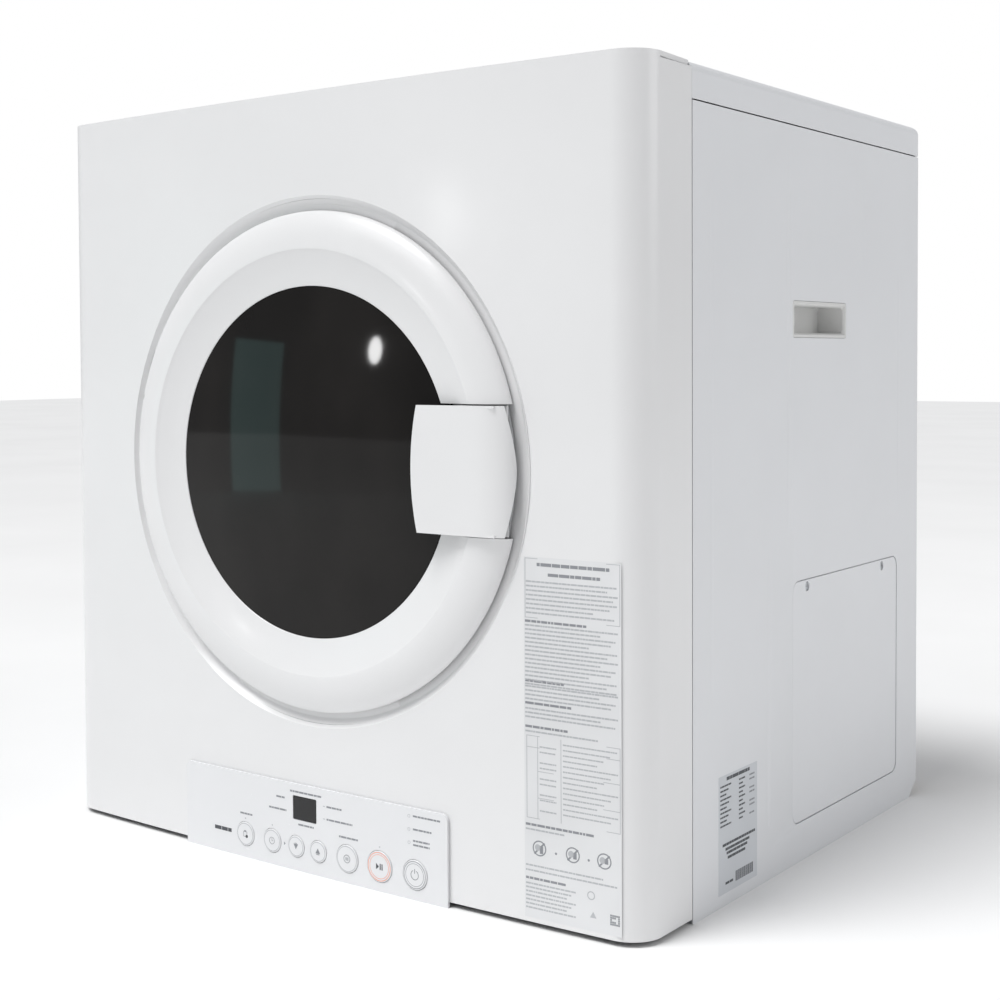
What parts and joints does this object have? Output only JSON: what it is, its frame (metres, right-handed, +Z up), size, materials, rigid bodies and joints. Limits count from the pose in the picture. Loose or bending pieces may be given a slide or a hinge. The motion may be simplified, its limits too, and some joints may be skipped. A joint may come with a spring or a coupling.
{
  "type": "clothes dryer",
  "caption": "Compact front-loading gas clothes dryer with a bowed front, round hinged door with a dark domed window, push buttons and a belt-driven drum.",
  "frame": {"origin": "on the floor, at the middle of the whole object in plan", "axes": "+Z up, front and door facing -Y, +X to the right seen from the front"},
  "size_m": [0.65, 0.6046, 0.696],
  "materials": {
    "white_paint": "smooth gloss white enamel",
    "white_moulding": "satin white moulded plastic",
    "panel_white": "fine matt white film",
    "window_smoke": "dark smoked glossy dome",
    "display_black": "gloss black",
    "grey_plastic": "matt light grey",
    "dark_plastic": "matt dark grey",
    "galvanised": "zinc-coated sheet",
    "drum_steel": "bright stainless",
    "aluminised": "aluminised sheet",
    "brass": "machined",
    "cast_iron": "rough",
    "rubber": "matt black",
    "felt": "pressed felt",
    "filter_plastic": "matt blue",
    "circuit_board": "coated board"
  },
  "bodies": {
    "cabinet": {"base_pan": "galvanised", "combustion_duct": "aluminised", "control_board": "circuit_board", "control_panel": "panel_white", "cord_gland": "rubber", "display_window": "display_black", "door_catch_magnet": "dark_plastic", "door_hinge_bracket": "galvanised", "drum_belt": "rubber", "drum_front_felt": "felt", "exhaust_collar": "galvanised", "fan_belt": "rubber", "fan_housing": "grey_plastic", "foot_front_left": "rubber", "foot_front_right": "rubber", "foot_rear_left": "rubber", "foot_rear_right": "rubber", "front_bulkhead": "galvanised", "front_panel": "white_moulding", "gas_burner": "cast_iron", "gas_inlet_pipe": "brass", "gas_valve": "brass", "hand_grip_left": "grey_plastic", "hand_grip_right": "grey_plastic", "motor_body": "dark_plastic", "motor_bracket": "galvanised", "rear_bulkhead": "galvanised", "rear_panel": "white_paint", "service_cover": "white_paint", "service_screw_front": "galvanised", "service_screw_rear": "galvanised", "side_panel_left": "white_paint", "side_panel_right": "white_paint", "tension_spring": "galvanised", "top_cover": "white_paint"},
    "door": {"door_outer_ring": "white_moulding", "door_window": "window_smoke", "door_liner": "grey_plastic", "door_gasket": "rubber", "door_handle": "white_moulding", "door_hinge_leaf": "galvanised", "door_strike_plate": "galvanised"},
    "drum": {"drum": "drum_steel", "drum_lifter_1": "grey_plastic", "drum_lifter_2": "grey_plastic", "drum_lifter_3": "grey_plastic", "drum_shaft": "galvanised"},
    "lint_filter": {"lint_filter": "filter_plastic"},
    "motor_rotor": {"motor_shaft": "galvanised"},
    "fan": {"fan_wheel": "grey_plastic", "fan_pulley": "galvanised"},
    "idler_arm": {"idler_arm": "galvanised"},
    "idler_wheel": {"idler_pulley": "grey_plastic"},
    "button_course": {"button_course": "panel_white"},
    "button_time": {"button_time": "panel_white"},
    "button_less": {"button_less": "panel_white"},
    "button_more": {"button_more": "panel_white"},
    "button_delay": {"button_delay": "panel_white"},
    "button_start": {"button_start": "panel_white"},
    "button_power": {"button_power": "panel_white"}
  },
  "joints": [
    {"name": "door_hinge", "type": "hinge", "parent": "cabinet", "child": "door", "pos_m": [-0.197, -0.2876, 0.3765], "axis": [0, 0, -1], "range_deg": [0, 105]},
    {"name": "drum_spin", "type": "hinge", "parent": "cabinet", "child": "drum", "pos_m": [0, 0.1387, 0.3765], "axis": [0, 1, 0], "continuous": true},
    {"name": "lint_filter_pull", "type": "slide", "parent": "drum", "child": "lint_filter", "axis": [0, -1, 0], "range_m": [0, 0.06]},
    {"name": "motor_spin", "type": "hinge", "parent": "cabinet", "child": "motor_rotor", "pos_m": [-0.245, 0.0452, 0.095], "axis": [0, 1, 0], "continuous": true},
    {"name": "fan_spin", "type": "hinge", "parent": "cabinet", "child": "fan", "pos_m": [0, 0.2562, 0.3765], "axis": [0, 1, 0], "continuous": true},
    {"name": "idler_arm_swing", "type": "hinge", "parent": "cabinet", "child": "idler_arm", "pos_m": [-0.075, 0.0202, 0.062], "axis": [0, -1, 0], "range_deg": [0, 12], "stiffness_Nm_per_rad": 2, "springref_deg": -8.59, "deforming": ["tension_spring"]},
    {"name": "idler_spin", "type": "hinge", "parent": "idler_arm", "child": "idler_wheel", "pos_m": [-0.13, 0.0202, 0.077], "axis": [0, 1, 0], "continuous": true},
    {"name": "button_course_press", "type": "slide", "parent": "cabinet", "child": "button_course", "axis": [0, 1, 0], "range_m": [0, 0.0008], "stiffness_N_per_m": 900, "springref_m": -0.0006},
    {"name": "button_time_press", "type": "slide", "parent": "cabinet", "child": "button_time", "axis": [0, 1, 0], "range_m": [0, 0.0008], "stiffness_N_per_m": 900, "springref_m": -0.0006},
    {"name": "button_less_press", "type": "slide", "parent": "cabinet", "child": "button_less", "axis": [0, 1, 0], "range_m": [0, 0.0008], "stiffness_N_per_m": 900, "springref_m": -0.0006},
    {"name": "button_more_press", "type": "slide", "parent": "cabinet", "child": "button_more", "axis": [0, 1, 0], "range_m": [0, 0.0008], "stiffness_N_per_m": 900, "springref_m": -0.0006},
    {"name": "button_delay_press", "type": "slide", "parent": "cabinet", "child": "button_delay", "axis": [0, 1, 0], "range_m": [0, 0.0008], "stiffness_N_per_m": 900, "springref_m": -0.0006},
    {"name": "button_start_press", "type": "slide", "parent": "cabinet", "child": "button_start", "axis": [0, 1, 0], "range_m": [0, 0.0008], "stiffness_N_per_m": 900, "springref_m": -0.0006},
    {"name": "button_power_press", "type": "slide", "parent": "cabinet", "child": "button_power", "axis": [0, 1, 0], "range_m": [0, 0.0008], "stiffness_N_per_m": 900, "springref_m": -0.0006}
  ],
  "couplings": [
    {"joint": "motor_spin", "follows": "drum_spin", "ratio": 17.25},
    {"joint": "fan_spin", "follows": "drum_spin", "ratio": 17.25},
    {"joint": "idler_spin", "follows": "drum_spin", "ratio": -13.143}
  ]
}
